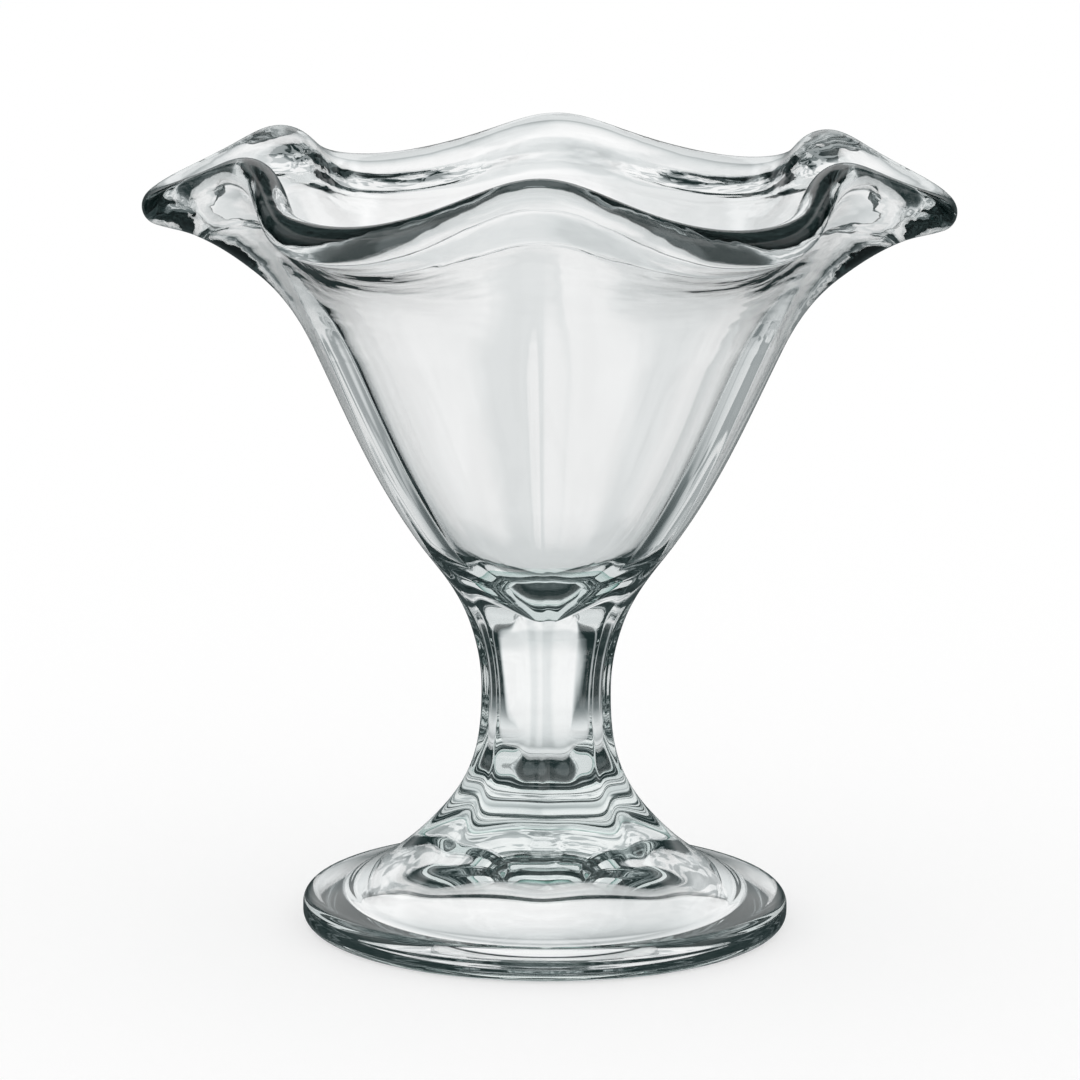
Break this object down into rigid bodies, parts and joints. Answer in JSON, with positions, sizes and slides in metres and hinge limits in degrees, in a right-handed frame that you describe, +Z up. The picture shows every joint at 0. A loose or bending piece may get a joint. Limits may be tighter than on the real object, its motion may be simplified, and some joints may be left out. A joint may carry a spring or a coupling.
{
  "type": "footed dessert glass",
  "caption": "Clear pressed-glass coupe with a cone bowl, a ruffled lobed rim, a short faceted stem and a round flared foot.",
  "frame": {"origin": "centre of the foot's underside, on the table", "axes": "+Z up along the glass's axis; -Y is the front of the picture, where a crest of the rim faces the viewer; +X is to the right"},
  "size_m": [0.1248, 0.1136, 0.1223],
  "materials": {
    "clear_glass": "fire-polished, clear with a faint green tint"
  },
  "bodies": {
    "root": {"bowl": "clear_glass", "stem": "clear_glass", "foot": "clear_glass"}
  },
  "joints": []
}
